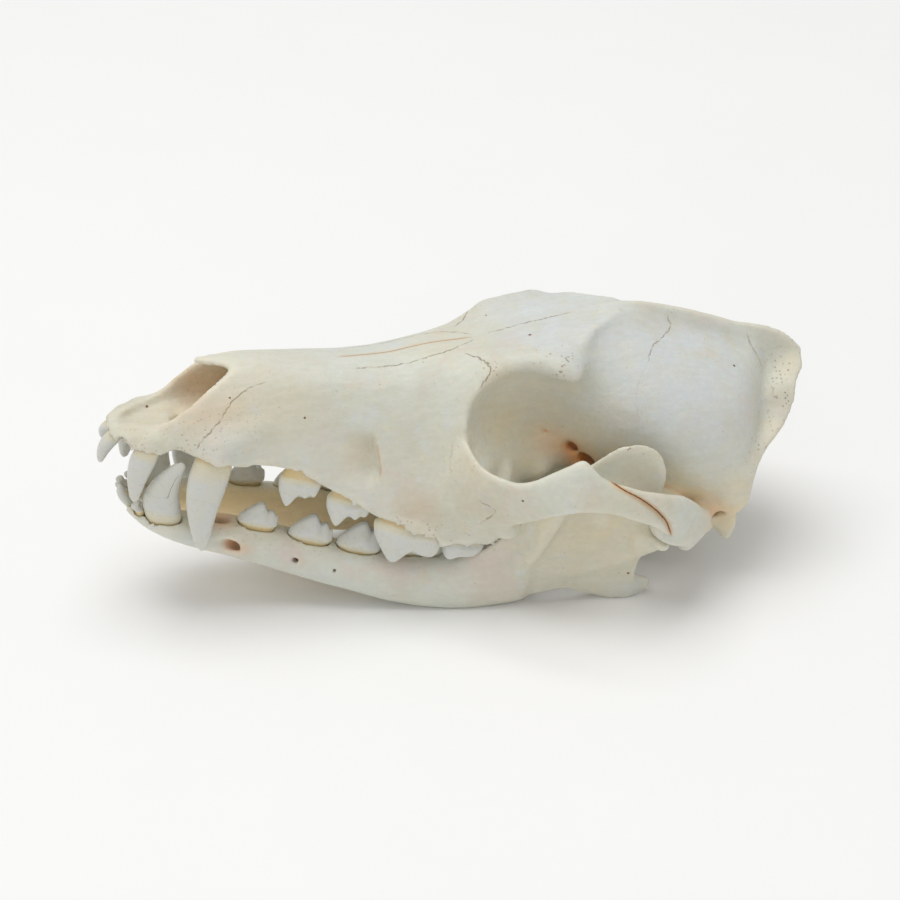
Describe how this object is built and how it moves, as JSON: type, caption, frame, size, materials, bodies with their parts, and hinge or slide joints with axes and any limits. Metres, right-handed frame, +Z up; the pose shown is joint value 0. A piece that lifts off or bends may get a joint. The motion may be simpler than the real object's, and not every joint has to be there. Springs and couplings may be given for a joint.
{
  "type": "coyote skull",
  "caption": "Cleaned coyote skull with cheek arches, loose lower jaw and long canine teeth, resting on its jaw.",
  "frame": {"origin": "centre of the bounding box's bottom, on the surface the jaw rests on", "axes": "+X from the nose to the back of the skull, +Y towards the animal's right, +Z up"},
  "size_m": [0.2004, 0.1015, 0.0786],
  "materials": {
    "skull_bone": "matt dry bone",
    "jaw_bone": "matt dry bone",
    "tooth_enamel": "satin enamel"
  },
  "bodies": {
    "root": {"cranium": "skull_bone", "mandible_left": "jaw_bone", "mandible_right": "jaw_bone", "upper_left_incisor_1": "tooth_enamel", "upper_left_incisor_3": "tooth_enamel", "upper_left_canine": "tooth_enamel", "upper_left_premolar_2": "tooth_enamel", "upper_left_premolar_3": "tooth_enamel", "upper_left_premolar_4": "tooth_enamel", "upper_left_molar_1": "tooth_enamel", "upper_left_molar_2": "tooth_enamel", "upper_right_incisor_1": "tooth_enamel", "upper_right_incisor_2": "tooth_enamel", "upper_right_incisor_3": "tooth_enamel", "upper_right_canine": "tooth_enamel", "upper_right_premolar_1": "tooth_enamel", "upper_right_premolar_2": "tooth_enamel", "upper_right_premolar_3": "tooth_enamel", "upper_right_premolar_4": "tooth_enamel", "upper_right_molar_1": "tooth_enamel", "upper_right_molar_2": "tooth_enamel", "lower_left_incisor_1": "tooth_enamel", "lower_left_incisor_2": "tooth_enamel", "lower_left_incisor_3": "tooth_enamel", "lower_left_canine": "tooth_enamel", "lower_left_premolar_2": "tooth_enamel", "lower_left_premolar_3": "tooth_enamel", "lower_left_premolar_4": "tooth_enamel", "lower_left_molar_1": "tooth_enamel", "lower_left_molar_2": "tooth_enamel", "lower_left_molar_3": "tooth_enamel", "lower_right_incisor_1": "tooth_enamel", "lower_right_incisor_2": "tooth_enamel", "lower_right_incisor_3": "tooth_enamel", "lower_right_canine": "tooth_enamel", "lower_right_premolar_1": "tooth_enamel", "lower_right_premolar_2": "tooth_enamel", "lower_right_premolar_3": "tooth_enamel", "lower_right_premolar_4": "tooth_enamel", "lower_right_molar_1": "tooth_enamel", "lower_right_molar_2": "tooth_enamel", "lower_right_molar_3": "tooth_enamel"}
  },
  "joints": []
}
